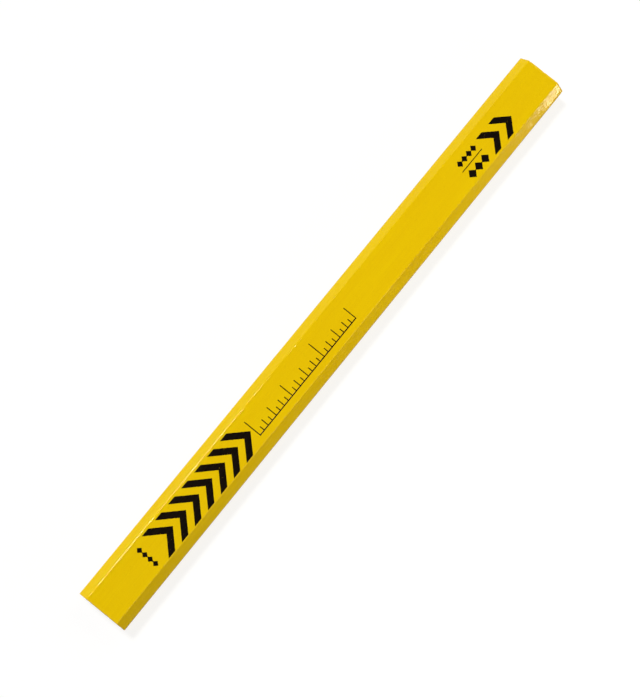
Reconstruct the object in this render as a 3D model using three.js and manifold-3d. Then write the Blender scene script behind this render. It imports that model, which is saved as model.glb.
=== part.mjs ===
// Flat carpenter's pencil, unsharpened: two grooved wood slats glued round a flat graphite lead,
// lacquered on the outside and foil-stamped on the upper face.
//
// Millimetres, +Z up. The origin is the centre of the lower flat face. +X runs along the pencil,
// the way the stamped chevrons point. The end at -X is the back end, the end at +X the front end.

import * as THREE from "three";
import { mergeVertices } from "three/addons/utils/BufferGeometryUtils.js";
import Module from "manifold-3d";

const wasm = await Module();
wasm.setup();

// ---------------------------------------------------------------- driving dimensions

// Body: a flattened octagon, with a bevel between each wide flat and each narrow side.
const LENGTH = 177.8;
const WIDTH = 14.0;
const THICKNESS = 7.0;
const BEVEL_RUN = 2.3; // how much of the half width one bevel takes
const BEVEL_DROP = 2.3; // how much of the thickness one bevel takes
const FLAT_EDGE_RADIUS = 0.35; // edge between a wide flat and a bevel
const SIDE_EDGE_RADIUS = 0.9; // edge between a bevel and a narrow side
const ARC_STEPS = 5; // straight steps in each rounded edge

const LACQUER_WALL = 0.15;

// Lead and glue. The groove is the lead plus one film of glue on every face.
const LEAD_WIDTH = 5.0;
const LEAD_THICKNESS = 2.0;
const GLUE_FILM = 0.1;

// Foil stamping on the upper flat. Margins are from the edges of that flat.
const FOIL_THICKNESS = 0.03;

const BACK_CHEVRONS = {
  name: "chevron_back",
  count: 7,
  pitch: 4.99,
  firstApexFromBack: 26.5,
  armDepth: 2.45, // along X
  marginLeft: 0.7,
  marginRight: 0.2,
};
const FRONT_CHEVRONS = {
  name: "chevron_front",
  count: 2,
  pitch: 5.25,
  lastApexFromFront: 15.05,
  armDepth: 2.45,
  marginLeft: 2.25,
  marginRight: 0.6,
};

// Inch scale: a base rule with a tick at each sixteenth.
const SCALE = {
  startFromBack: 57.2,
  step: 25.4 / 16,
  steps: 24,
  marginLeft: 2.35,
  marginRight: 1.8,
  ruleWidth: 0.3,
  tickWidth: 0.26,
  // how far the tick on each whole, half, quarter, eighth and sixteenth of an inch reaches,
  // as a share of the room between the margins
  ticks: [
    { every: 16, reach: 1 },
    { every: 8, reach: 0.8 },
    { every: 4, reach: 0.62 },
    { every: 2, reach: 0.45 },
    { every: 1, reach: 0.3 },
  ],
};

// Rows of lozenges, each row strung on a thin rule. The block is two rows with a divider between
// them, and they share what the margins and the gaps leave of the flat.
const ROW_RULE_WIDTH = 0.22;
const BLOCK = {
  centreFromFront: 31.1,
  marginLeft: 2.2,
  marginRight: 0.8,
  rowGap: 0.75, // between each row and the divider
  upperShare: 0.42,
  upper: { count: 4, long: 1.85 },
  lower: { count: 3, long: 2.65 },
  dividerLong: 8.2,
};
const END_ROW = {
  fromBack: 16.9,
  count: 4,
  high: 1.6, // along X
  marginLeft: 1.6,
  marginRight: 1.1,
};

// ---------------------------------------------------------------- derived places

const backEnd = -LENGTH / 2;
const frontEnd = LENGTH / 2;
const midHeight = THICKNESS / 2;
const flatHalf = WIDTH / 2 - BEVEL_RUN;
const slatHalf = WIDTH / 2 - LACQUER_WALL;
const grooveHalf = LEAD_WIDTH / 2 + GLUE_FILM;
const grooveRise = LEAD_THICKNESS / 2 + GLUE_FILM; // from mid height to the groove's floor
const filmHalf = GLUE_FILM / 2;

// ---------------------------------------------------------------- materials

const paint = (color, roughness) =>
  new THREE.MeshStandardMaterial({ color, roughness, metalness: 0 });
const yellowLacquer = paint(0xe4c200, 0.22);
const blackFoil = paint(0x0c0a0a, 0.35);
const basswood = paint(0xd9b98a, 0.8);
const driedGlue = paint(0xb9975f, 0.5);
const graphite = new THREE.MeshStandardMaterial({
  color: 0x2e2f33,
  roughness: 0.45,
  metalness: 0.4,
});

// ---------------------------------------------------------------- shape helpers

// One rounded edge: an arc about the point that lies `radius` inside both faces, from the face
// with the normal angle `from` to the one with the normal angle `to`, taken `inset` deeper.
function edgeArc(corner, from, to, radius, inset) {
  const middle = (from + to) / 2;
  const reach = radius / Math.cos((to - from) / 2);
  const centre = new THREE.Vector2(
    corner.x - reach * Math.cos(middle),
    corner.y - reach * Math.sin(middle),
  );
  const points = [];
  for (let i = 0; i <= ARC_STEPS; i++) {
    const angle = from + ((to - from) * i) / ARC_STEPS;
    points.push(
      new THREE.Vector2(
        centre.x + (radius - inset) * Math.cos(angle),
        centre.y + (radius - inset) * Math.sin(angle),
      ),
    );
  }
  return points;
}

// The right upper quarter of the body's section, from the narrow side up to the wide flat, about
// the section's centre. x is across the pencil and y is up.
function quarterOutline(inset) {
  const bevelNormal = Math.atan2(BEVEL_RUN, BEVEL_DROP);
  const sideCorner = new THREE.Vector2(WIDTH / 2, midHeight - BEVEL_DROP);
  const flatCorner = new THREE.Vector2(flatHalf, midHeight);
  return [
    ...edgeArc(sideCorner, 0, bevelNormal, SIDE_EDGE_RADIUS, inset),
    ...edgeArc(flatCorner, bevelNormal, Math.PI / 2, FLAT_EDGE_RADIUS, inset),
  ];
}

// The upper half of the section, from the right side over the top to the left side.
function upperHalfOutline(inset) {
  const right = quarterOutline(inset);
  const left = right.map((p) => new THREE.Vector2(-p.x, p.y)).reverse();
  return [...right, ...left];
}

const mirroredDown = (points) =>
  points.map((p) => new THREE.Vector2(p.x, -p.y)).reverse();

const fullOutline = (inset) => {
  const upper = upperHalfOutline(inset);
  return [...upper, ...mirroredDown(upper)];
};

const rectangle = (halfWidth, halfHeight) => [
  new THREE.Vector2(halfWidth, -halfHeight),
  new THREE.Vector2(halfWidth, halfHeight),
  new THREE.Vector2(-halfWidth, halfHeight),
  new THREE.Vector2(-halfWidth, -halfHeight),
];

// A section about the pencil's centre line, run from the back end to the front end.
function alongPencil(outline, hole) {
  const shape = new THREE.Shape(outline);
  if (hole) shape.holes.push(new THREE.Path(hole));
  const geometry = new THREE.ExtrudeGeometry(shape, {
    depth: LENGTH,
    bevelEnabled: false,
    curveSegments: 1,
  });
  geometry.translate(0, midHeight, backEnd);
  // section x, section y, run -> Y, Z, X, as a plain exchange of axes
  return geometry.applyMatrix4(
    new THREE.Matrix4().set(0, 0, 1, 0, 1, 0, 0, 0, 0, 1, 0, 0, 0, 0, 0, 1),
  );
}

// An outline in X and Y, as foil lying on the upper flat.
function foil(outline) {
  const geometry = new THREE.ExtrudeGeometry(new THREE.Shape(outline), {
    depth: FOIL_THICKNESS,
    bevelEnabled: false,
    curveSegments: 1,
  });
  return geometry.translate(0, 0, THICKNESS);
}

// Several overlapping closed geometries joined into one.
function joined(geometries) {
  const solids = geometries.map((geometry) => {
    const bare = geometry.clone();
    bare.deleteAttribute("normal");
    bare.deleteAttribute("uv");
    const merged = mergeVertices(bare);
    return new wasm.Manifold(
      new wasm.Mesh({
        numProp: 3,
        vertProperties: merged.attributes.position.array,
        triVerts: new Uint32Array(merged.index.array),
      }),
    );
  });
  const mesh = solids.reduce((whole, next) => whole.add(next)).getMesh();
  return new THREE.BufferGeometry()
    .setAttribute("position", new THREE.BufferAttribute(mesh.vertProperties, 3))
    .setIndex(new THREE.BufferAttribute(mesh.triVerts, 1));
}

// ---------------------------------------------------------------- outlines

// A grooved slat: the upper half of the wood, open below for the lead. The lower slat is its
// mirror image.
function slatOutline() {
  return [
    new THREE.Vector2(slatHalf, filmHalf),
    ...upperHalfOutline(LACQUER_WALL),
    new THREE.Vector2(-slatHalf, filmHalf),
    new THREE.Vector2(-grooveHalf, filmHalf),
    new THREE.Vector2(-grooveHalf, grooveRise),
    new THREE.Vector2(grooveHalf, grooveRise),
    new THREE.Vector2(grooveHalf, filmHalf),
  ];
}

// The glue: a film between the slats that opens into a sleeve round the lead.
function glueOutline() {
  const upper = [
    new THREE.Vector2(slatHalf, filmHalf),
    new THREE.Vector2(grooveHalf, filmHalf),
    new THREE.Vector2(grooveHalf, grooveRise),
    new THREE.Vector2(-grooveHalf, grooveRise),
    new THREE.Vector2(-grooveHalf, filmHalf),
    new THREE.Vector2(-slatHalf, filmHalf),
  ];
  return [...upper, ...mirroredDown(upper)];
}

// A chevron pointing along +X, with arms at 45 degrees and its tail ends cut along X.
function chevronOutline(apexX, centreY, halfWidth, armDepth) {
  const shoulder = apexX - halfWidth;
  return [
    new THREE.Vector2(apexX, centreY),
    new THREE.Vector2(shoulder, centreY + halfWidth),
    new THREE.Vector2(shoulder - armDepth, centreY + halfWidth),
    new THREE.Vector2(apexX - armDepth, centreY),
    new THREE.Vector2(shoulder - armDepth, centreY - halfWidth),
    new THREE.Vector2(shoulder, centreY - halfWidth),
  ];
}

// The scale as one comb: along the base rule's lower edge, then back over the ticks.
function scaleOutline() {
  const startX = backEnd + SCALE.startFromBack;
  const endX = startX + SCALE.step * SCALE.steps;
  const baseY = -flatHalf + SCALE.marginRight;
  const room = 2 * flatHalf - SCALE.marginLeft - SCALE.marginRight;
  const half = SCALE.tickWidth / 2;
  const points = [
    new THREE.Vector2(startX - half, baseY),
    new THREE.Vector2(endX + half, baseY),
  ];
  for (let i = SCALE.steps; i >= 0; i--) {
    const x = startX + SCALE.step * i;
    const { reach } = SCALE.ticks.find((tick) => i % tick.every === 0);
    if (i < SCALE.steps)
      points.push(new THREE.Vector2(x + half, baseY + SCALE.ruleWidth));
    points.push(new THREE.Vector2(x + half, baseY + reach * room));
    points.push(new THREE.Vector2(x - half, baseY + reach * room));
    if (i > 0) points.push(new THREE.Vector2(x - half, baseY + SCALE.ruleWidth));
  }
  return points;
}

// A row of lozenges on a rule, each `long` along the row and `high` across it. `along` is the
// row's direction, "x" or "y".
function lozengeRow(centreX, centreY, { count, long, high }, along) {
  const place = (run, rise) =>
    along === "x"
      ? new THREE.Vector2(centreX + run, centreY + rise)
      : new THREE.Vector2(centreX - rise, centreY + run);
  const outlines = [];
  for (let i = 0; i < count; i++) {
    const run = (i - (count - 1) / 2) * long;
    outlines.push([
      place(run + long / 2, 0),
      place(run, high / 2),
      place(run - long / 2, 0),
      place(run, -high / 2),
    ]);
  }
  const ruleRun = ((count - 1) * long) / 2;
  const ruleRise = ROW_RULE_WIDTH / 2;
  outlines.push([
    place(ruleRun, -ruleRise),
    place(ruleRun, ruleRise),
    place(-ruleRun, ruleRise),
    place(-ruleRun, -ruleRise),
  ]);
  return joined(outlines.map(foil));
}

// ---------------------------------------------------------------- assembly

const pencil = new THREE.Group();

function add(name, geometry, material) {
  const mesh = new THREE.Mesh(geometry, material);
  mesh.name = name;
  pencil.add(mesh);
}

function addBody() {
  add("upper_slat", alongPencil(slatOutline()), basswood);
  add("lower_slat", alongPencil(mirroredDown(slatOutline())), basswood);
  const lead = rectangle(LEAD_WIDTH / 2, LEAD_THICKNESS / 2);
  add("lead_core", alongPencil(lead), graphite);
  add("glue_line", alongPencil(glueOutline(), lead), driedGlue);
  add(
    "lacquer_coat",
    alongPencil(fullOutline(0), fullOutline(LACQUER_WALL)),
    yellowLacquer,
  );
}

function addChevrons(group, firstApexX) {
  const halfWidth = flatHalf - (group.marginLeft + group.marginRight) / 2;
  const centreY = (group.marginRight - group.marginLeft) / 2;
  for (let i = 0; i < group.count; i++) {
    const apexX = firstApexX + group.pitch * i;
    const outline = chevronOutline(apexX, centreY, halfWidth, group.armDepth);
    add(`${group.name}_${i + 1}`, foil(outline), blackFoil);
  }
}

function addBlock() {
  const { marginLeft, marginRight, rowGap, upperShare } = BLOCK;
  const centreX = frontEnd - BLOCK.centreFromFront;
  const top = flatHalf - marginLeft;
  const bottom = -flatHalf + marginRight;
  const rowsHigh = top - bottom - 2 * rowGap - ROW_RULE_WIDTH;
  const upper = { ...BLOCK.upper, high: upperShare * rowsHigh };
  const lower = { ...BLOCK.lower, high: (1 - upperShare) * rowsHigh };
  const dividerY = top - upper.high - rowGap - ROW_RULE_WIDTH / 2;
  const divider = rectangle(BLOCK.dividerLong / 2, ROW_RULE_WIDTH / 2).map((p) =>
    p.add(new THREE.Vector2(centreX, dividerY)),
  );
  const upperRow = lozengeRow(centreX, top - upper.high / 2, upper, "x");
  const lowerRow = lozengeRow(centreX, bottom + lower.high / 2, lower, "x");
  add("lozenge_row_upper", upperRow, blackFoil);
  add("divider_rule", foil(divider), blackFoil);
  add("lozenge_row_lower", lowerRow, blackFoil);
}

function addEndRow() {
  const { count, high, marginLeft, marginRight } = END_ROW;
  const long = (2 * flatHalf - marginLeft - marginRight) / count;
  const centreX = backEnd + END_ROW.fromBack;
  const centreY = (marginRight - marginLeft) / 2;
  const row = lozengeRow(centreX, centreY, { count, long, high }, "y");
  add("lozenge_row_end", row, blackFoil);
}

addBody();
addChevrons(BACK_CHEVRONS, backEnd + BACK_CHEVRONS.firstApexFromBack);
addChevrons(
  FRONT_CHEVRONS,
  frontEnd -
    FRONT_CHEVRONS.lastApexFromFront -
    FRONT_CHEVRONS.pitch * (FRONT_CHEVRONS.count - 1),
);
add("inch_scale", foil(scaleOutline()), blackFoil);
addBlock();
addEndRow();

export default pencil;
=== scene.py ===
"""An unsharpened flat carpenter's pencil: yellow lacquer over two wood slats glued round a flat
lead, with black foil stamped on the upper flat. Metres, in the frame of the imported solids: +X
along the pencil, the way the chevrons point, +Z up, origin at the middle of the underside."""

import math

import bpy
import numpy as np
from mathutils import Matrix, Vector


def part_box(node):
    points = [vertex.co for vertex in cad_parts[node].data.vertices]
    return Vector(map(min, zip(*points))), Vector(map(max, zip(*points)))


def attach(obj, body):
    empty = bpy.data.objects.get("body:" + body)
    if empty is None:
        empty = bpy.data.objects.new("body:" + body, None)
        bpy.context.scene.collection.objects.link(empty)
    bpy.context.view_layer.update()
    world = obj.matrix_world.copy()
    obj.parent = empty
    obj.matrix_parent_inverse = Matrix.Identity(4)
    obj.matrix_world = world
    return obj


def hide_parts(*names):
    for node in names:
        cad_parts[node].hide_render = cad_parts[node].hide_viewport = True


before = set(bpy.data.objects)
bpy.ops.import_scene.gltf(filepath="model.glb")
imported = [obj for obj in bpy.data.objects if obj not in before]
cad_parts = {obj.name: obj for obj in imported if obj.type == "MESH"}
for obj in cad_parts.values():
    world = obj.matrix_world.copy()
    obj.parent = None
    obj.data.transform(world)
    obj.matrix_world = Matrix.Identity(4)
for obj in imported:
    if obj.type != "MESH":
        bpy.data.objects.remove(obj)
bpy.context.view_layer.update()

MM = 0.001

# ------------------------------------------------------------------ camera, floor and lights

EYE = Vector((-92.8, -23.3, 433.1)) * MM
AIM = Vector((-5.5, -0.7, 7.0)) * MM  # the point in the middle of the view
HEADING = math.radians(38.5)  # the level direction that points up the view, from +X to +Y
LENS = 90.3  # on a 36 mm sensor


def look_from(eye, aim, heading):
    """The camera's own axes: back is away from the aim, right is level, square to the heading."""
    back = (eye - aim).normalized()
    level = Vector((math.cos(heading), math.sin(heading), 0))
    right = level.cross(back).normalized()
    up = back.cross(right)
    turn = Matrix((right, up, back)).transposed().to_4x4()
    return Matrix.Translation(eye) @ turn


def make_camera():
    data = bpy.data.cameras.new("camera")
    data.sensor_width = 36
    data.lens = LENS
    data.clip_start = 0.005
    camera = bpy.data.objects.new("camera", data)
    camera.matrix_world = look_from(EYE, AIM, HEADING)
    bpy.context.scene.collection.objects.link(camera)
    bpy.context.scene.camera = camera


def make_sun(name, toward, strength, spread_degrees, colour):
    """Soft even light from the direction `toward`, as wide in the sky as spread_degrees."""
    data = bpy.data.lights.new(name, "SUN")
    data.energy = strength
    data.color = colour
    data.angle = math.radians(spread_degrees)
    sun = bpy.data.objects.new(name, data)
    sun.matrix_world = Vector(toward).to_track_quat("Z", "Y").to_matrix().to_4x4()
    bpy.context.scene.collection.objects.link(sun)


def make_panel(name, place, aim, width, height, power, colour, shown_by):
    """A flat rectangular light at `place` that faces the point `aim`. shown_by says which part of
    a finish it lights, "body" or "gloss"."""
    data = bpy.data.lights.new(name, "AREA")
    data.shape = "RECTANGLE"
    data.size = width
    data.size_y = height
    data.energy = power
    data.color = colour
    panel = bpy.data.objects.new(name, data)
    turn = (Vector(place) - Vector(aim)).to_track_quat("Z", "Y")
    panel.matrix_world = Matrix.Translation(place) @ turn.to_matrix().to_4x4()
    panel.visible_camera = False
    panel.visible_diffuse = shown_by == "body"
    panel.visible_glossy = shown_by == "gloss"
    bpy.context.scene.collection.objects.link(panel)


WHITE = (1.0, 1.0, 1.0)
WARM = (1.0, 0.88, 0.66)


def make_lights():
    """A key light high on the pencil's +Y side, wide dim ones beyond both its ends, and on the -Y
    side a small lamp that fills the shade, a far panel that shines in the bevel's gloss near the
    front end, and a large one over the rest."""
    make_sun("key_left", toward=(0.05, 0.54, 0.84), strength=2.45, spread_degrees=12, colour=WHITE)
    make_sun("fill_back", toward=(-0.75, 0.0, 0.66), strength=0.38, spread_degrees=50, colour=WARM)
    make_sun("fill_front", toward=(0.80, 0.05, 0.60), strength=0.70, spread_degrees=40, colour=WARM)
    make_panel(
        "side_right", place=(0.06, -0.15, 0.055), aim=(0.05, 0, 0), width=0.12, height=0.03,
        power=0.092, colour=WARM, shown_by="body",
    )
    make_panel(
        "low_right", place=(0.686, -1.32, 0.062), aim=(0.08, 0, 0), width=0.10, height=0.10,
        power=0.80, colour=WHITE, shown_by="gloss",
    )
    make_panel(
        "high_right", place=(0.0, -0.36, 0.45), aim=(0, 0, 0), width=0.5, height=0.25,
        power=0.8, colour=WHITE, shown_by="gloss",
    )


def grey(tone):
    return (tone, tone, tone, 1)


def switch_by_ray(tree, ray, usual, special, out):
    """Sends the shader `special` out for light rays of the kind `ray`, and `usual` for the rest."""
    rays = tree.nodes.new("ShaderNodeLightPath")
    mix = tree.nodes.new("ShaderNodeMixShader")
    tree.links.new(rays.outputs[ray], mix.inputs["Fac"])
    tree.links.new(usual.outputs[0], mix.inputs[1])
    tree.links.new(special.outputs[0], mix.inputs[2])
    tree.links.new(mix.outputs["Shader"], out.inputs["Surface"])


SURROUND_TO_CAMERA = 1.0  # how bright the surround is to the camera
SURROUND_TO_PENCIL = 0.12  # and as light on the pencil and in its gloss


def make_world():
    """A pale surround for the camera, and a dim even one for everything else, so that the gloss
    has something dark to reflect."""
    world = bpy.data.worlds.new("studio")
    bpy.context.scene.world = world
    world.use_nodes = True
    tree = world.node_tree
    dim = tree.nodes["Background"]
    dim.inputs["Color"].default_value = grey(1)
    dim.inputs["Strength"].default_value = SURROUND_TO_PENCIL
    pale = tree.nodes.new("ShaderNodeBackground")
    pale.inputs["Color"].default_value = grey(1)
    pale.inputs["Strength"].default_value = SURROUND_TO_CAMERA
    switch_by_ray(tree, "Is Camera Ray", dim, pale, tree.nodes["World Output"])


FLOOR_RADIUS = 3.0
FLOOR_SIDES = 96
FLOOR_TONE = 0.18  # how much of the light on it the floor gives back
FLOOR_GLOW = 0.83  # what it gives of its own, which keeps the pencil's shadow light
FLOOR_IN_GLOSS = 0.5  # its tone where the pencil's gloss reflects it


def make_floor():
    """The flat round sheet that the pencil lies on, white and dull, and darker in the gloss. Its
    rim is a circle of even points."""
    around = np.linspace(0, 2 * np.pi, FLOOR_SIDES, endpoint=False)
    rim = FLOOR_RADIUS * np.stack([np.cos(around), np.sin(around), np.zeros_like(around)], axis=1)
    mesh = bpy.data.meshes.new("floor")
    mesh.from_pydata(rim, [], [list(range(len(rim)))])
    floor = bpy.data.objects.new("floor", mesh)
    bpy.context.scene.collection.objects.link(floor)
    material = bpy.data.materials.new("white_paper")
    material.use_nodes = True
    tree = material.node_tree
    shader = tree.nodes["Principled BSDF"]
    shader.inputs["Base Color"].default_value = grey(FLOOR_TONE)
    shader.inputs["Roughness"].default_value = 0.9
    shader.inputs["Specular IOR Level"].default_value = 0.1
    shader.inputs["Emission Color"].default_value = grey(1)
    shader.inputs["Emission Strength"].default_value = FLOOR_GLOW
    dim = tree.nodes.new("ShaderNodeBsdfDiffuse")
    dim.inputs["Color"].default_value = grey(FLOOR_IN_GLOSS)
    switch_by_ray(tree, "Is Glossy Ray", shader, dim, tree.nodes["Material Output"])
    mesh.materials.append(material)


make_camera()
make_world()
make_lights()
make_floor()
bpy.context.scene.view_settings.view_transform = "Standard"

# ------------------------------------------------------------------ sizes, from the frame

COAT_LOW, COAT_HIGH = (np.array(corner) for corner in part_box("lacquer_coat"))
SLAT_HIGH = np.array(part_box("upper_slat")[1])
LEAD_HIGH = np.array(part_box("lead_core")[1])
GLUE_HIGH = np.array(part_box("glue_line")[1])

BACK, FRONT = COAT_LOW[0], COAT_HIGH[0]
HALF_WIDTH = COAT_HIGH[1]
TOP = COAT_HIGH[2]
MIDDLE = TOP / 2
WALL = HALF_WIDTH - SLAT_HIGH[1]  # the lacquer's thickness
FILM = GLUE_HIGH[2] - LEAD_HIGH[2]  # the glue's thickness
GROOVE_HALF = LEAD_HIGH[1] + FILM

BEVEL = 2.3 * MM  # what a bevel takes of the half width, and of the half thickness
FLAT_HALF = HALF_WIDTH - BEVEL
ARRIS_RADIUS = 0.35 * MM  # between a wide flat and a bevel
SIDE_RADIUS = 0.9 * MM  # between a bevel and a narrow side

# ------------------------------------------------------------------ meshes


def outward(points, faces):
    """The quads with their corners in the order that faces them out, which is the one that gives
    the closed mesh a volume above nothing."""
    a, b, c, d = np.moveaxis(points[faces], 1, 0)
    six_volumes = np.sum(a * (np.cross(b, c) + np.cross(c, d)))
    return faces if six_volumes > 0 else faces[:, ::-1]


def add_piece(name, points, faces, material, slot, *nodes):
    """A new mesh piece that rides on the body and stands for the CAD nodes that are named."""
    points = points.reshape(-1, 3)
    mesh = bpy.data.meshes.new(name)
    mesh.from_pydata(points, [], outward(points, faces))
    mesh.polygons.foreach_set("use_smooth", np.ones(len(faces), bool))
    mesh.materials.append(material)
    mesh.update()
    piece = bpy.data.objects.new(name, mesh)
    bpy.context.scene.collection.objects.link(piece)
    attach(piece, "root")
    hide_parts(*nodes)
    return piece


CORNER = math.radians(40)


def keep_corners_sharp(piece):
    """Marks the edges where two faces meet at more than CORNER, so the shading breaks there."""
    piece.data.set_sharp_from_angle(angle=CORNER)


def ring_faces(around, along):
    """Quads of a grid that closes on itself in both directions, such as a sleeve's wall."""
    i, j = np.meshgrid(np.arange(around), np.arange(along), indexing="ij")
    i2, j2 = (i + 1) % around, (j + 1) % along
    corners = [i * along + j, i2 * along + j, i2 * along + j2, i * along + j2]
    return np.stack(corners, axis=-1).reshape(-1, 4)


def block_skin(lattice):
    """The closed skin of a bent block. `lattice` holds the block's points by their three steps,
    and the skin is its six outer sheets of quads, with the points that no sheet uses left out."""
    index = np.arange(lattice[..., 0].size).reshape(lattice.shape[:3])

    def quads(sheet):
        corners = [sheet[:-1, :-1], sheet[:-1, 1:], sheet[1:, 1:], sheet[1:, :-1]]
        return np.stack(corners, axis=-1).reshape(-1, 4)

    sheets = [
        quads(index[0]),
        quads(index[-1])[:, ::-1],
        quads(index[:, 0])[:, ::-1],
        quads(index[:, -1]),
        quads(index[:, :, 0]),
        quads(index[:, :, -1])[:, ::-1],
    ]
    used, faces = np.unique(np.concatenate(sheets), return_inverse=True)
    return lattice.reshape(-1, 3)[used], faces.reshape(-1, 4)


# ------------------------------------------------------------------ the section

BEVEL_FACING = np.pi / 4  # the way an upper bevel faces, from +Y up to +Z
ARC_STEPS = 8
RUN = 0.28 * MM  # spacing of the outline's points on the flats, bevels and sides


def rounded_corner(corner, start, end, radius, inset):
    """Points and normals of one rounded edge. The arc's centre lies `radius` inside both faces,
    and the normal turns evenly from the angle start to the angle end."""
    middle = (start + end) / 2
    reach = radius / math.cos((end - start) / 2)
    centre = corner - reach * np.array([math.cos(middle), math.sin(middle)])
    angle = np.linspace(start, end, ARC_STEPS + 1)
    normal = np.stack([np.cos(angle), np.sin(angle)], axis=1)
    return centre + (radius - inset) * normal, normal


def rounded_edges(inset):
    """The two rounded edges of the section's upper quarter on the +Y side, `inset` deeper than
    the true surface: first the one by the narrow side, then the one by the wide flat."""
    side_corner = np.array([HALF_WIDTH, TOP - BEVEL])
    flat_corner = np.array([FLAT_HALF, TOP])
    side = rounded_corner(side_corner, 0, BEVEL_FACING, SIDE_RADIUS, inset)
    flat = rounded_corner(flat_corner, BEVEL_FACING, np.pi / 2, ARRIS_RADIUS, inset)
    return side, flat


def straight_run(a, b, facing):
    """Evenly spaced points strictly between a and b, with one normal at the angle `facing`."""
    steps = max(2, round(np.linalg.norm(b - a) / RUN))
    points = a + (b - a) * np.linspace(0, 1, steps + 1)[1:-1, None]
    return points, np.tile([math.cos(facing), math.sin(facing)], (len(points), 1))


def section():
    """The outline and its normals in Y and Z, once round from the middle of the +Y side: a
    flattened octagon with rounded edges. One quarter is worked out and mirrored both ways."""
    side, flat = rounded_edges(0)
    start = np.array([HALF_WIDTH, MIDDLE])
    end = np.array([0, TOP])
    parts = [
        (start[None], np.array([[1.0, 0.0]])),
        straight_run(start, side[0][0], 0),
        side,
        straight_run(side[0][-1], flat[0][0], BEVEL_FACING),
        flat,
        straight_run(flat[0][-1], end, np.pi / 2),
    ]
    points, normals = (np.concatenate(column) for column in zip(*parts))
    points = np.concatenate([points, [end], (points * [-1, 1])[::-1]])
    normals = np.concatenate([normals, [[0, 1]], (normals * [-1, 1])[::-1]])
    under = (points * [1, -1] + [0, TOP])[-2:0:-1]
    under_normals = (normals * [1, -1])[-2:0:-1]
    return np.concatenate([points, under]), np.concatenate([normals, under_normals])


# ------------------------------------------------------------------ lacquer

RIPPLE = 0.016 * MM  # the deepest the lacquer's surface lies under the true section
LIP = 0.07 * MM  # how far the lacquer rounds over at each cut end
LIP_STEPS = 4
STATIONS = 300  # places along the pencil where the section is set out
THIN_REACH = 0.45 * MM  # how far from an end the lacquer is thinner
ARRIS_FACING = 67.5  # degrees up from level, halfway round the edge by a wide flat
SIDE_EDGE_FACING = 22.5  # and halfway round the edge by a narrow side
EDGE_SPREAD = 12.0  # degrees away from there where about a third of the thinning is left
CHIP = 0.13 * MM  # how far the largest chips at the cut ends reach along the pencil
CHIP_WAVES = ((7, 1), (17, 2), (31, 0))  # crests once round, and times the end's phase
CHIP_STARTS = 1.1  # the sum of the waves at which a chip starts
CHIP_FULL = 2.3  # and at which it is at its largest
CHIP_ZONE = 1.5 * LIP  # points this near an end draw back by its chips

# The ripple's waves: share, a radian's length along and across in millimetres, and phase.
RIPPLE_WAVES = (
    (0.40, 13.0, 2.1, 0.0),
    (0.25, 7.3, -1.3, 1.7),
    (0.20, 29.0, 0.8, 4.1),
    (0.15, 4.7, 3.4, 2.6),
)


def ripple(x, y, z):
    """How deep the lacquer's surface lies under the true section: between nothing and RIPPLE,
    a sum of long slanting sine waves, as drawn-on lacquer has over planed wood."""
    across = y + 0.6 * z
    waves = sum(
        share * np.sin(x / (along * MM) + across / (athwart * MM) + phase)
        for share, along, athwart, phase in RIPPLE_WAVES
    )
    return RIPPLE * (0.5 + 0.5 * waves)


def edge_share(angle, facing):
    """A bell curve over the angle, 1 at `facing` and nearly nothing 2 * EDGE_SPREAD from it."""
    return np.exp(-(((angle - facing) / EDGE_SPREAD) ** 2))


def thinness(x, normal):
    """1 where the lacquer is thin, on the rounded edges and at the ends, and 0 well away. Across
    an edge it follows the way the surface faces, along one it comes and goes in two slow waves,
    and from an end it dies away evenly."""
    angle = np.degrees(np.arctan2(np.abs(normal[:, 1]), np.abs(normal[:, 0])))
    edges = edge_share(angle, ARRIS_FACING) + 0.6 * edge_share(angle, SIDE_EDGE_FACING)
    patchy = 0.55 + 0.3 * np.sin(x / (9.0 * MM)) + 0.15 * np.sin(x / (3.1 * MM) + 0.9)
    end = np.exp(-np.minimum(x - BACK, FRONT - x) / THIN_REACH)
    return np.maximum(edges[:, None] * patchy[None, :], end[None, :])


def chips(outline, phase):
    """How far the lacquer is chipped back at a sawn end, for each point round the outline: a sum
    of three sine waves of the distance round, of which only the crests bite."""
    step = np.linalg.norm(np.roll(outline, -1, axis=0) - outline, axis=1)
    run = np.cumsum(step)
    angle = 2 * np.pi * run / run[-1]
    waves = sum(np.sin(crests * angle + times * phase) for crests, times in CHIP_WAVES)
    return CHIP * np.clip((waves - CHIP_STARTS) / (CHIP_FULL - CHIP_STARTS), 0, 1)


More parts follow.
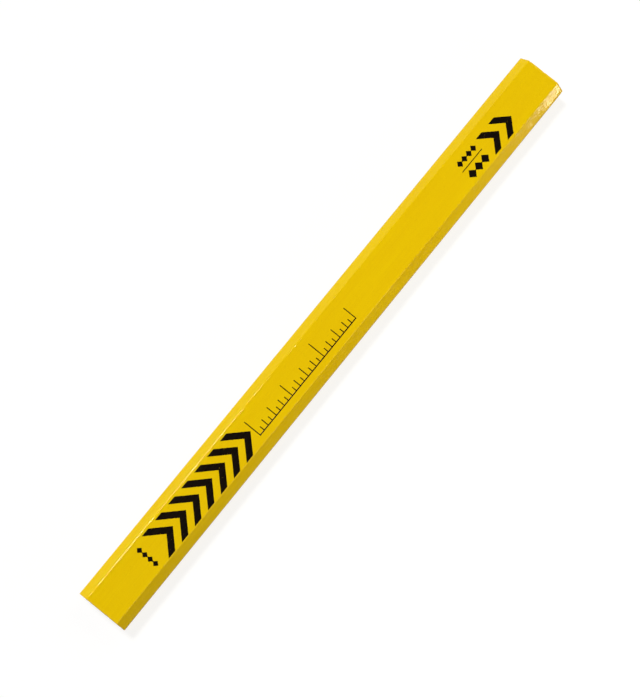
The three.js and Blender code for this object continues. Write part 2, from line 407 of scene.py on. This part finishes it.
def make_lacquer(material):
    """The sleeve's wall as one closed ring of strips: outside from the back end to the front,
    round the front lip, inside back to the back end, and round the back lip. Across the strips
    the points go once round the section. At both ends the strips draw back by the chips."""
    outline, normal = section()
    turn = np.linspace(0, np.pi / 2, LIP_STEPS + 1)
    lip_x = LIP * (1 - np.sin(turn))  # how far from the end, as the lip turns in
    lip_depth = LIP * (1 - np.cos(turn))
    run = np.linspace(BACK + LIP, FRONT - LIP, STATIONS)[1:-1]
    x = np.concatenate([BACK + lip_x[::-1], run, FRONT - lip_x, [FRONT, BACK]])
    depth = np.concatenate([lip_depth[::-1], np.zeros(len(run)), lip_depth, [WALL, WALL]])
    yz = outline[:, None] - normal[:, None] * depth[None, :, None]
    back_chips = np.outer(chips(outline, phase=0.6), x < BACK + CHIP_ZONE)
    front_chips = np.outer(chips(outline, phase=2.9), x > FRONT - CHIP_ZONE)
    x_grid = x + back_chips - front_chips
    sunk = ripple(x_grid, yz[..., 0], yz[..., 1]) * (depth < LIP / 2)
    yz = yz - normal[:, None] * sunk[..., None]
    points = np.concatenate([x_grid[..., None], yz], axis=-1)
    faces = ring_faces(*points.shape[:2])
    piece = add_piece("lacquer", points, faces, material, "lacquer", "lacquer_coat")
    thin = piece.data.attributes.new("thin", "FLOAT", "POINT")
    thin.data.foreach_set("value", thinness(x, normal).ravel().astype(np.float32))
    keep_corners_sharp(piece)


# ------------------------------------------------------------------ slats and lead

SEAT = 0.02 * MM  # least depth of a sawn wood or lead face under the lacquer's end
SAW_PITCH = 0.55 * MM
SAW_DEPTH = 0.014 * MM
RING_PITCH = 1.35 * MM
RING_DEPTH = 0.022 * MM
TORN_DEPTH = 0.008 * MM
STEP = 0.001 * MM  # width left for a square step in a grid
END_ZONE = 0.8 * MM  # how far from an end a block's straight run starts


def cut_relief(y, z, pith, saw_angle, phase):
    """Depth of a sawn end under its plane: saw marks, a set of nearly even waves at saw_angle,
    growth rings, a ramp of the distance from the pith that starts again at each ring, and small
    torn spots, a product of two waves."""
    across = y * math.cos(saw_angle) + z * math.sin(saw_angle)
    saw = 0.5 + 0.5 * np.sin(2 * np.pi * across / SAW_PITCH + 0.8 * np.sin(z / (0.9 * MM)) + phase)
    radius = np.hypot(y - pith[0], z - pith[1])
    ring = (radius / RING_PITCH + 0.06 * np.sin(y / (1.1 * MM) + phase)) % 1.0
    torn = 0.5 + 0.5 * np.sin(y / (0.23 * MM) + phase) * np.sin(z / (0.19 * MM) + 2 * phase)
    return SEAT + SAW_DEPTH * saw + RING_DEPTH * ring**2 + TORN_DEPTH * torn


def wood_top(y):
    """Height of the upper slat's top over each y: the rounded edges one lacquer wall deeper, with
    straight faces between them."""
    side, flat = (points for points, _ in rounded_edges(WALL))
    profile = np.concatenate([[[0, TOP - WALL]], flat[::-1], side[::-1]])
    return np.interp(np.abs(y), profile[:, 0], profile[:, 1])


FLAT_COLUMNS = 34
BEVEL_COLUMNS = 12
SLAT_ROWS = 27


def slat_columns():
    """The places across the slat where its section has a corner or curves, and even ones between.
    At the groove's walls there are two, a hair apart, so the step stands square."""
    side, flat = (points[:, 0] for points, _ in rounded_edges(WALL))
    wall = np.array([GROOVE_HALF - STEP, GROOVE_HALF])
    even = np.linspace(0, FLAT_HALF - 0.1 * MM, FLAT_COLUMNS)
    bevel = np.linspace(flat[0], side[-1], BEVEL_COLUMNS)[1:-1]
    half = np.unique(np.concatenate([even, wall, flat, bevel, side]))
    return np.concatenate([-half[:0:-1], half])


def run_between_ends(back, front):
    """A block's stations along the pencil: the two ends' own shapes, and a straight run between
    them that starts END_ZONE from each."""
    run_back = np.full_like(back, BACK + END_ZONE)
    run_front = np.full_like(front, FRONT - END_ZONE)
    return np.stack([back, run_back, run_front, front], axis=-1)


def make_slat(name, node, flip, pith, material):
    """A grooved slat as a bent block: across the pencil, up from the glue or the groove to the
    rounded top, and along. Only the two end sheets carry relief. flip is -1 for the lower one."""
    y = slat_columns()
    groove = LEAD_HIGH[2] + FILM
    floor = np.where(np.abs(y) < GROOVE_HALF - STEP / 2, groove, MIDDLE + FILM / 2)
    rise = np.linspace(0, 1, SLAT_ROWS)
    z = floor[:, None] + (wood_top(y) - floor)[:, None] * rise
    y = np.broadcast_to(y[:, None], z.shape)
    z = MIDDLE + flip * (z - MIDDLE)
    back = BACK + cut_relief(y, z, pith, saw_angle=0.30, phase=0.4)
    front = FRONT - cut_relief(y, z, pith, saw_angle=-0.22, phase=2.1)
    x = run_between_ends(back, front)
    y, z = (np.broadcast_to(v[..., None], x.shape) for v in (y, z))
    points, faces = block_skin(np.stack([x, y, z], axis=-1))
    piece = add_piece(name, points, faces, material, "slat_wood", node)
    keep_corners_sharp(piece)


LEAD_COLUMNS = 61
LEAD_RIM = 0.06 * MM  # how far in, and how deep, the lead's rim is chipped
SCORE_PITCH = 0.3 * MM
SCORE_DEPTH = 0.006 * MM


def make_lead(material):
    """The lead as a block whose sawn ends have even score lines and dip towards their rims, by a
    depth that dies away inwards and wavers along the rim. The grid closes up towards the rims."""
    half_width = LEAD_HIGH[1]
    half_height = LEAD_HIGH[2] - MIDDLE
    edge = np.linspace(-1, 1, LEAD_COLUMNS)
    edge = np.sign(edge) * np.abs(edge) ** 0.75
    v, w = np.meshgrid(edge, edge[::2], indexing="ij")
    y, z = v * half_width, MIDDLE + w * half_height
    rim_y = np.exp(-(half_width - np.abs(y)) / LEAD_RIM)
    rim_z = np.exp(-(half_height - np.abs(z - MIDDLE)) / LEAD_RIM)
    chipped = LEAD_RIM * np.maximum(rim_y, rim_z) * (1 + 0.4 * np.sin(y / (0.21 * MM)))
    scored = SCORE_DEPTH * (1 + np.sin(2 * np.pi * (y + 0.3 * z) / SCORE_PITCH))
    depth = SEAT + chipped + scored
    x = run_between_ends(BACK + depth, FRONT - depth)
    y, z = (np.broadcast_to(a[..., None], x.shape) for a in (y, z))
    points, faces = block_skin(np.stack([x, y, z], axis=-1))
    piece = add_piece("lead", points, faces, material, "graphite", "lead_core")
    keep_corners_sharp(piece)


# ------------------------------------------------------------------ foil marks

FOIL = 0.018 * MM  # how far the foil stands over the lacquer
FOIL_ROOT = 0.012 * MM  # how far it reaches into it
RAGGED = 0.018 * MM  # how far its edge wanders
FOIL_RIM = 0.35  # share of the foil's height that is left where its rim is pressed down


def wander(run, phase):
    """A small uneven shift of a foil edge along its run: the mean of a short and a longer wave."""
    waves = np.sin(run / (0.17 * MM) + phase) + np.sin(run / (0.41 * MM) + 2.3 * phase)
    return RAGGED * 0.5 * waves


def make_foil(name, node, near, far, material, across=5):
    """A foil mark as a thin block between two edges that run side by side over the upper flat,
    in even steps across from the near edge to the far one. Its height follows the lacquer's
    ripple and drops near the rim by high powers of the place, so that the rim is pressed down."""
    share = np.linspace(0, 1, across + 1)[None, :, None]
    xy = near[:, None] * (1 - share) + far[:, None] * share
    skin = TOP - ripple(xy[..., 0], xy[..., 1], TOP)
    end = np.linspace(-1, 1, len(near))[:, None]
    side = 2 * share[..., 0] - 1
    pressed = FOIL_RIM + (1 - FOIL_RIM) * (1 - side**8) * (1 - end**40)
    top = skin + FOIL * pressed
    x, y = (np.stack([xy[..., k]] * 2, axis=-1) for k in (0, 1))
    z = np.stack([skin - FOIL_ROOT, top], axis=-1)
    points, faces = block_skin(np.stack([x, y, z], axis=-1))
    piece = add_piece(name, points, faces, material, "foil", node)
    keep_corners_sharp(piece)


CHEVRON_POINTS = 61  # along an edge


def make_chevron(node, phase, material):
    """One chevron: its front edge runs back at 45 degrees on both sides of the point, and its
    rear edge is the same line moved back by the arm's depth."""
    low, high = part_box(node)
    half = (high.y - low.y) / 2
    arm = high.x - low.x - half
    run = np.linspace(-half, half, CHEVRON_POINTS)
    y = (low.y + high.y) / 2 + run
    front = np.stack([high.x - np.abs(run) + wander(run, phase), y], axis=1)
    rear = np.stack([high.x - arm - np.abs(run) + wander(run, phase + 1.1), y], axis=1)
    make_foil(f"foil_{node}", node, rear, front, material)


TICK_WIDTH = 0.26 * MM
RULE_WIDTH = 0.3 * MM
SIXTEENTH = 25.4 * MM / 16
TICK_REACH = {16: 1.0, 8: 0.8, 4: 0.62, 2: 0.45, 1: 0.3}  # every so many: share of the tallest


def make_inch_scale(material):
    """The scale as one comb. Its near edge is the base rule's lower side, and its far edge jumps
    from the rule's width up to each tick's reach and back, a hair apart so the sides are square."""
    low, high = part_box("inch_scale")
    steps = round((high.x - low.x - TICK_WIDTH) / SIXTEENTH)
    runs, reaches = [], []
    for i in range(steps + 1):
        left = low.x + i * SIXTEENTH
        reach = TICK_REACH[next(n for n in TICK_REACH if i % n == 0)] * (high.y - low.y)
        runs += [left, left + STEP, left + TICK_WIDTH - STEP, left + TICK_WIDTH]
        reaches += [RULE_WIDTH, reach, reach, RULE_WIDTH]
    x, reach = np.array(runs), np.array(reaches)
    near = np.stack([x, np.full_like(x, low.y)], axis=1)
    far = np.stack([x, low.y + reach], axis=1)
    make_foil("foil_inch_scale", "inch_scale", near, far, material, across=8)


ROW_RULE = 0.22 * MM  # the width of the rule that joins a row's lozenges
TIP = 0.02 * MM  # and of the row's two tips
LOZENGE_POINTS = 16


def make_lozenge_row(node, count, lengthwise, material):
    """A row of lozenges on a thin rule. Half its height along the row is a row of peaks, never
    less than the rule between the first and last peak and nearly nothing at the two tips."""
    low, high = (np.array(corner)[:2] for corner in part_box(node))
    run_axis = 0 if lengthwise else 1
    rise_axis = 1 - run_axis
    share = np.linspace(0, count, count * LOZENGE_POINTS + 1)
    peak = 1 - np.abs(2 * (share % 1) - 1)
    half = peak * (high[rise_axis] - low[rise_axis]) / 2
    inside = (share >= 0.5) & (share <= count - 0.5)
    half = np.maximum(half, np.where(inside, ROW_RULE / 2, TIP / 2))
    run = low[run_axis] + (high[run_axis] - low[run_axis]) * share / count
    middle = (low[rise_axis] + high[rise_axis]) / 2
    edges = []
    for sign in (-1, 1):
        edge = np.empty((len(run), 2))
        edge[:, run_axis] = run
        edge[:, rise_axis] = middle + sign * half
        edges.append(edge)
    make_foil(f"foil_{node}", node, edges[0], edges[1], material)


DIVIDER_POINTS = 41


def make_divider(material):
    """The thin rule between the two rows, with edges that wander less than the other marks'."""
    low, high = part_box("divider_rule")
    x = np.linspace(low.x, high.x, DIVIDER_POINTS)
    near = np.stack([x, low.y + 0.3 * wander(x, 0.2)], axis=1)
    far = np.stack([x, high.y + 0.3 * wander(x, 1.9)], axis=1)
    make_foil("foil_divider_rule", "divider_rule", near, far, material, across=3)


# ------------------------------------------------------------------ materials


class Finish:
    """A material with short calls for the nodes that the finishes below are made of."""

    def __init__(self, name):
        self.material = bpy.data.materials.new(name)
        self.material.use_nodes = True
        self.nodes = self.material.node_tree.nodes
        self.links = self.material.node_tree.links
        self.shader = self.nodes["Principled BSDF"]
        self.place = self.nodes.new("ShaderNodeTexCoord").outputs["Object"]

    def set(self, **values):
        """Sets plain values on the shader's sockets, such as roughness=0.2."""
        for name, value in values.items():
            words = name.replace("_", " ")
            socket = next(s for s in self.shader.inputs if s.name.lower() == words)
            socket.default_value = value

    def link(self, output, socket):
        self.links.new(output, socket)

    def stretched(self, x, y, z, shift=(0, 0, 0)):
        """Object coordinates with one pattern step every x, y and z metres."""
        node = self.nodes.new("ShaderNodeMapping")
        node.inputs["Location"].default_value = shift
        node.inputs["Scale"].default_value = (1 / x, 1 / y, 1 / z)
        self.link(self.place, node.inputs["Vector"])
        return node.outputs["Vector"]

    def noise(self, vector, detail=2, rough=0.5):
        node = self.nodes.new("ShaderNodeTexNoise")
        node.inputs["Scale"].default_value = 1
        node.inputs["Detail"].default_value = detail
        node.inputs["Roughness"].default_value = rough
        self.link(vector, node.inputs["Vector"])
        return node.outputs["Fac"]

    def ranged(self, value, low, high, to_low=0.0, to_high=1.0):
        """value carried from low..high to to_low..to_high, and held at those ends."""
        node = self.nodes.new("ShaderNodeMapRange")
        node.inputs["From Min"].default_value = low
        node.inputs["From Max"].default_value = high
        node.inputs["To Min"].default_value = to_low
        node.inputs["To Max"].default_value = to_high
        self.link(value, node.inputs["Value"])
        return node.outputs["Result"]

    def add(self, a, b):
        node = self.nodes.new("ShaderNodeMath")
        node.operation = "ADD"
        self.link(a, node.inputs[0])
        self.link(b, node.inputs[1])
        return node.outputs["Value"]

    def blend(self, share, first, second):
        """A colour between first and second, each a colour or another node's output."""
        node = self.nodes.new("ShaderNodeMix")
        node.data_type = "RGBA"
        self.link(share, node.inputs["Factor"])
        for socket, value in ((node.inputs[6], first), (node.inputs[7], second)):
            if isinstance(value, tuple):
                socket.default_value = (*value, 1)
            else:
                self.link(value, socket)
        return node.outputs[2]

    def attribute(self, name):
        node = self.nodes.new("ShaderNodeAttribute")
        node.attribute_name = name
        return node.outputs["Fac"]

    def relief(self, height, distance, over=None):
        """A bump, `distance` metres high where `height` is 1, on top of `over` if that is given."""
        node = self.nodes.new("ShaderNodeBump")
        node.inputs["Distance"].default_value = distance
        node.inputs["Strength"].default_value = 1
        self.link(height, node.inputs["Height"])
        if over:
            self.link(over, node.inputs["Normal"])
        return node.outputs["Normal"]


DEEP_YELLOW = (0.775, 0.522, 0.0)
LIGHT_YELLOW = (0.800, 0.560, 0.0)
GRAIN_YELLOW = (0.70, 0.43, 0.0)
THIN_YELLOW = (0.80, 0.50, 0.03)
SPECK_BROWN = (0.42, 0.25, 0.0)
YELLOW_GLOSS = (1.0, 0.84, 0.50, 1)


def yellow_lacquer():
    """Glossy yellow lacquer. Under it the wood grain shows as fine lengthwise lines in the colour
    and the surface, and the lacquer is smooth but for an orange peel of fine dimples."""
    finish = Finish("yellow_lacquer")
    finish.set(ior=1.5, specular_tint=YELLOW_GLOSS)
    cloud = finish.noise(finish.stretched(30 * MM, 5 * MM, 5 * MM), detail=3)
    lines = finish.noise(finish.stretched(16 * MM, 0.28 * MM, 0.28 * MM), detail=4, rough=0.6)
    peel = finish.noise(finish.stretched(0.9 * MM, 0.5 * MM, 0.5 * MM), detail=1)
    specks = finish.noise(finish.stretched(0.5 * MM, 0.16 * MM, 0.16 * MM, (3, 1, 7)), detail=1)

    body = finish.blend(finish.ranged(cloud, 0.3, 0.7), DEEP_YELLOW, LIGHT_YELLOW)
    body = finish.blend(finish.ranged(lines, 0.35, 0.68, 0.0, 0.30), body, GRAIN_YELLOW)
    body = finish.blend(finish.ranged(specks, 0.73, 0.80, 0.0, 0.45), body, SPECK_BROWN)
    thin = finish.ranged(finish.attribute("thin"), 0.25, 1.0, 0.0, 0.35)
    body = finish.blend(thin, body, THIN_YELLOW)
    finish.link(body, finish.shader.inputs["Base Color"])
    rough = finish.ranged(finish.add(lines, cloud), 0.7, 1.3, 0.04, 0.08)
    finish.link(rough, finish.shader.inputs["Roughness"])
    grain = finish.relief(lines, 0.010 * MM)
    dimples = finish.ranged(peel, 0.50, 0.72)
    finish.link(finish.relief(dimples, -0.021 * MM, over=grain), finish.shader.inputs["Normal"])
    return finish.material


FOIL_BLACK = (0.003, 0.002, 0.0012)
# painted sheen: the slightly lighter black that the foil is given along the wood's fine lines
FOIL_PAINTED_SHEEN = (0.007, 0.0045, 0.003)
FOIL_GLOSS = (1.0, 0.75, 0.5, 1)
PINHOLE_YELLOW = (0.55, 0.33, 0.0)


def black_foil():
    """Black stamping foil, a little duller than the lacquer, that took the wood's fine lines and
    missed it in a few pinholes. Along those lines its black is painted a little lighter, as a
    painted sheen."""
    finish = Finish("black_foil")
    finish.set(ior=1.35, specular_ior_level=0.3, specular_tint=FOIL_GLOSS)
    lines = finish.noise(finish.stretched(10 * MM, 0.22 * MM, 0.22 * MM), detail=4, rough=0.6)
    holes = finish.noise(finish.stretched(0.9 * MM, 0.12 * MM, 0.12 * MM, (5, 2, 1)), detail=2)
    # painted sheen: the black turns a little lighter along the wood's fine lines
    black = finish.blend(finish.ranged(lines, 0.3, 0.7), FOIL_BLACK, FOIL_PAINTED_SHEEN)
    black = finish.blend(finish.ranged(holes, 0.75, 0.78, 0.0, 0.8), black, PINHOLE_YELLOW)
    finish.link(black, finish.shader.inputs["Base Color"])
    finish.link(finish.ranged(lines, 0.3, 0.7, 0.14, 0.24), finish.shader.inputs["Roughness"])
    finish.link(finish.relief(lines, 0.006 * MM), finish.shader.inputs["Normal"])
    return finish.material


FIBRE_BROWN = (0.42, 0.26, 0.12)
PORE_BROWN = (0.16, 0.085, 0.035)


def slat_wood(name, pith, early, late):
    """Pale softwood with growth rings about the pith, pores and torn fibres on the sawn end and
    fine lines along its length."""
    finish = Finish(name)
    finish.set(specular_ior_level=0.25)
    drift = finish.noise(finish.stretched(40 * MM, 2.2 * MM, 2.2 * MM), detail=2)
    rings = finish.nodes.new("ShaderNodeTexWave")
    rings.wave_type = "RINGS"
    rings.rings_direction = "X"
    rings.wave_profile = "SAW"
    rings.inputs["Scale"].default_value = math.pi / (10 * RING_PITCH)
    rings.inputs["Distortion"].default_value = 0.35
    rings.inputs["Detail"].default_value = 2
    rings.inputs["Detail Scale"].default_value = 900
    moved = finish.stretched(1, 1, 1, (0, -pith[0], -pith[1]))
    finish.link(moved, rings.inputs["Vector"])
    fibres = finish.noise(finish.stretched(6 * MM, 0.11 * MM, 0.11 * MM), detail=3, rough=0.65)
    pores = finish.noise(finish.stretched(9 * MM, 0.075 * MM, 0.075 * MM, (1, 4, 2)), detail=1)

    wood = finish.blend(finish.ranged(rings.outputs["Fac"], 0.25, 1.0), early, late)
    wood = finish.blend(finish.ranged(drift, 0.3, 0.7, 0.0, 0.35), wood, late)
    wood = finish.blend(finish.ranged(fibres, 0.35, 0.7, 0.0, 0.35), wood, FIBRE_BROWN)
    wood = finish.blend(finish.ranged(pores, 0.62, 0.72, 0.0, 0.6), wood, PORE_BROWN)
    finish.link(wood, finish.shader.inputs["Base Color"])
    finish.link(finish.ranged(fibres, 0.3, 0.7, 0.62, 0.85), finish.shader.inputs["Roughness"])
    torn = finish.relief(fibres, 0.03 * MM)
    finish.link(finish.relief(pores, -0.02 * MM, over=torn), finish.shader.inputs["Normal"])
    return finish.material


LEAD_DARK = (0.030, 0.031, 0.034)
LEAD_GREY = (0.085, 0.087, 0.094)
LEAD_SCORED = (0.16, 0.165, 0.175)


def graphite():
    """Fired graphite and clay: dark grey with a dull metal sheen, fine grit and saw lines."""
    finish = Finish("graphite")
    finish.set(metallic=0.45)
    grit = finish.noise(finish.stretched(0.09 * MM, 0.07 * MM, 0.07 * MM), detail=3, rough=0.65)
    saw = finish.noise(finish.stretched(4 * MM, 0.05 * MM, 1.2 * MM, (2, 3, 5)), detail=2)
    lead = finish.blend(finish.ranged(grit, 0.3, 0.7), LEAD_DARK, LEAD_GREY)
    lead = finish.blend(finish.ranged(saw, 0.55, 0.72, 0.0, 0.6), lead, LEAD_SCORED)
    finish.link(lead, finish.shader.inputs["Base Color"])
    finish.link(finish.ranged(grit, 0.3, 0.7, 0.50, 0.32), finish.shader.inputs["Roughness"])
    scored = finish.relief(saw, 0.012 * MM)
    finish.link(finish.relief(grit, 0.010 * MM, over=scored), finish.shader.inputs["Normal"])
    return finish.material


GLUE_AMBER = (0.30, 0.17, 0.06)
GLUE_DUST = (0.55, 0.37, 0.18)


def dried_glue():
    """Amber wood glue with wood dust pressed into it."""
    finish = Finish("dried_glue")
    dust = finish.noise(finish.stretched(0.3 * MM, 0.12 * MM, 0.12 * MM), detail=3, rough=0.6)
    glue = finish.blend(finish.ranged(dust, 0.35, 0.65), GLUE_AMBER, GLUE_DUST)
    finish.link(glue, finish.shader.inputs["Base Color"])
    finish.link(finish.ranged(dust, 0.3, 0.7, 0.30, 0.55), finish.shader.inputs["Roughness"])
    finish.link(finish.relief(dust, 0.01 * MM), finish.shader.inputs["Normal"])
    return finish.material


# ------------------------------------------------------------------ the pencil

# Each slat's pith in Y and Z, and its early and late wood.
UPPER_PITH = (6.0 * MM, -24.0 * MM)
LOWER_PITH = (-19.0 * MM, 33.0 * MM)
UPPER_WOOD = ((0.74, 0.54, 0.33), (0.60, 0.40, 0.21))
LOWER_WOOD = ((0.70, 0.51, 0.31), (0.57, 0.37, 0.19))
BACK_CHEVRONS = 7
FRONT_CHEVRONS = 2
LOZENGE_ROWS = (  # node, lozenges in the row, and whether the row runs along the pencil
    ("lozenge_row_upper", 4, True),
    ("lozenge_row_lower", 3, True),
    ("lozenge_row_end", 4, False),
)


def make_pencil():
    make_lacquer(yellow_lacquer())
    upper_wood = slat_wood("upper_slat_wood", UPPER_PITH, *UPPER_WOOD)
    lower_wood = slat_wood("lower_slat_wood", LOWER_PITH, *LOWER_WOOD)
    make_slat("upper_wood_slat", "upper_slat", 1, UPPER_PITH, upper_wood)
    make_slat("lower_wood_slat", "lower_slat", -1, LOWER_PITH, lower_wood)
    make_lead(graphite())
    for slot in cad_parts["glue_line"].material_slots:
        slot.material = dried_glue()

    foil = black_foil()
    for end, count in (("back", BACK_CHEVRONS), ("front", FRONT_CHEVRONS)):
        for i in range(1, count + 1):
            make_chevron(f"chevron_{end}_{i}", phase=0.7 * i, material=foil)
    make_inch_scale(foil)
    for node, count, lengthwise in LOZENGE_ROWS:
        make_lozenge_row(node, count, lengthwise, foil)
    make_divider(foil)


make_pencil()
